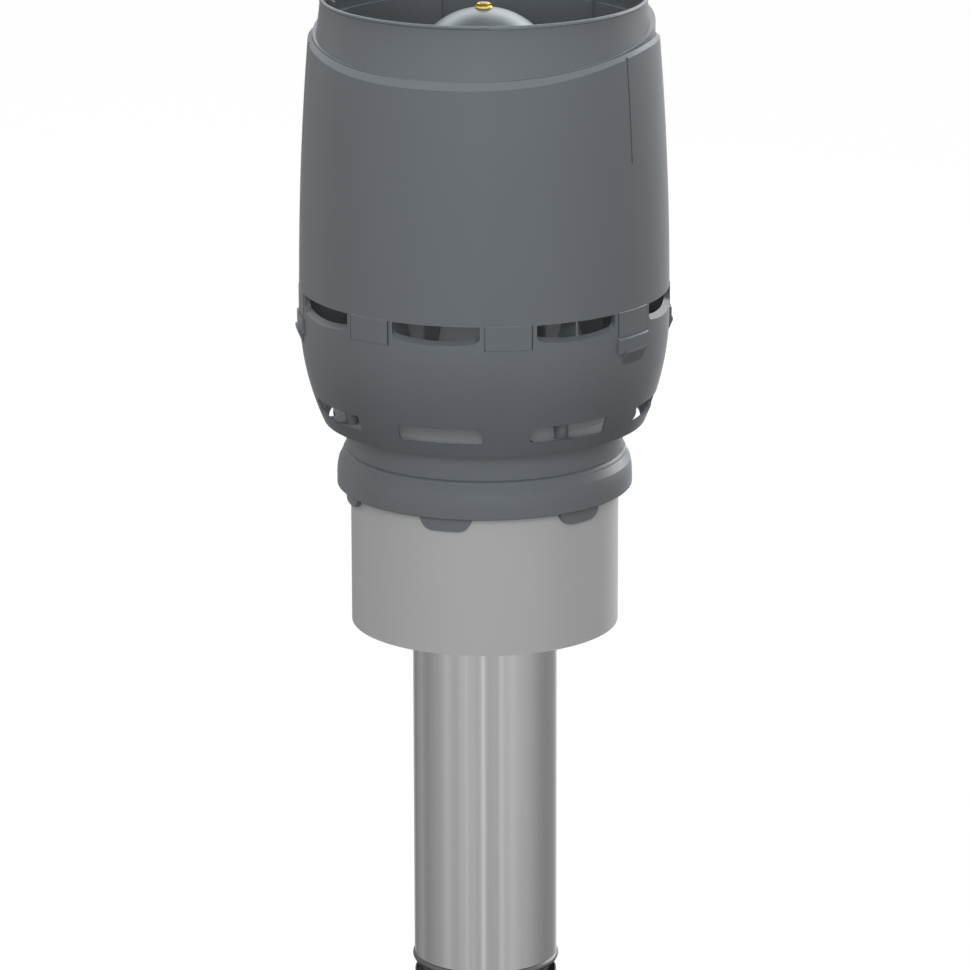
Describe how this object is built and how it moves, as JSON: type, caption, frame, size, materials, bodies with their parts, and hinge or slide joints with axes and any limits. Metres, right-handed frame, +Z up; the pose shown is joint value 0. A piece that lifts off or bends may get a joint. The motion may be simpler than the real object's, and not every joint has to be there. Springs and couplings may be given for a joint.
{
  "type": "roof ventilation pipe",
  "caption": "Insulated roof ventilation pipe: steel duct in a plastic outer pipe, with a collar and a barrel-shaped hood that blows upwards round a rain dome.",
  "frame": {"origin": "centre of the lower end of the duct's coupling, on the axis that every turned piece shares", "axes": "+Z up the axis from the coupling to the hood's outlet; the picture looks along +Y, with +X to its right"},
  "size_m": [0.315, 0.3094, 0.8792],
  "materials": {
    "hood_plastic": "matte grey moulded plastic",
    "pipe_plastic": "light grey extruded plastic",
    "duct_steel": "bright zinc-coated sheet steel",
    "dome_aluminium": "satin",
    "nut_brass": "bright yellow",
    "fastener_steel": "bright",
    "seal_rubber": "dark grey rubber",
    "insulation": "white foam"
  },
  "bodies": {
    "root": {"duct_nipple": "duct_steel", "nipple_lower_seal": "seal_rubber", "nipple_upper_seal": "seal_rubber", "inner_pipe": "duct_steel", "outer_pipe": "pipe_plastic", "lower_closing_ring": "pipe_plastic", "upper_closing_ring": "pipe_plastic", "insulation_sleeve": "insulation", "cone_insulation": "insulation", "collar_ring": "hood_plastic", "collar_seal": "seal_rubber", "hood_base": "hood_plastic", "pipe_top_seal": "seal_rubber", "hood_bowl": "hood_plastic", "hood_screws": "fastener_steel", "hood_shell": "hood_plastic", "outlet_ring": "hood_plastic", "dome_carrier": "hood_plastic", "carrier_screws": "fastener_steel", "dome_stud": "fastener_steel", "stud_nuts": "fastener_steel", "rain_dome": "dome_aluminium", "dome_washer": "fastener_steel", "dome_nut": "nut_brass"}
  },
  "joints": []
}
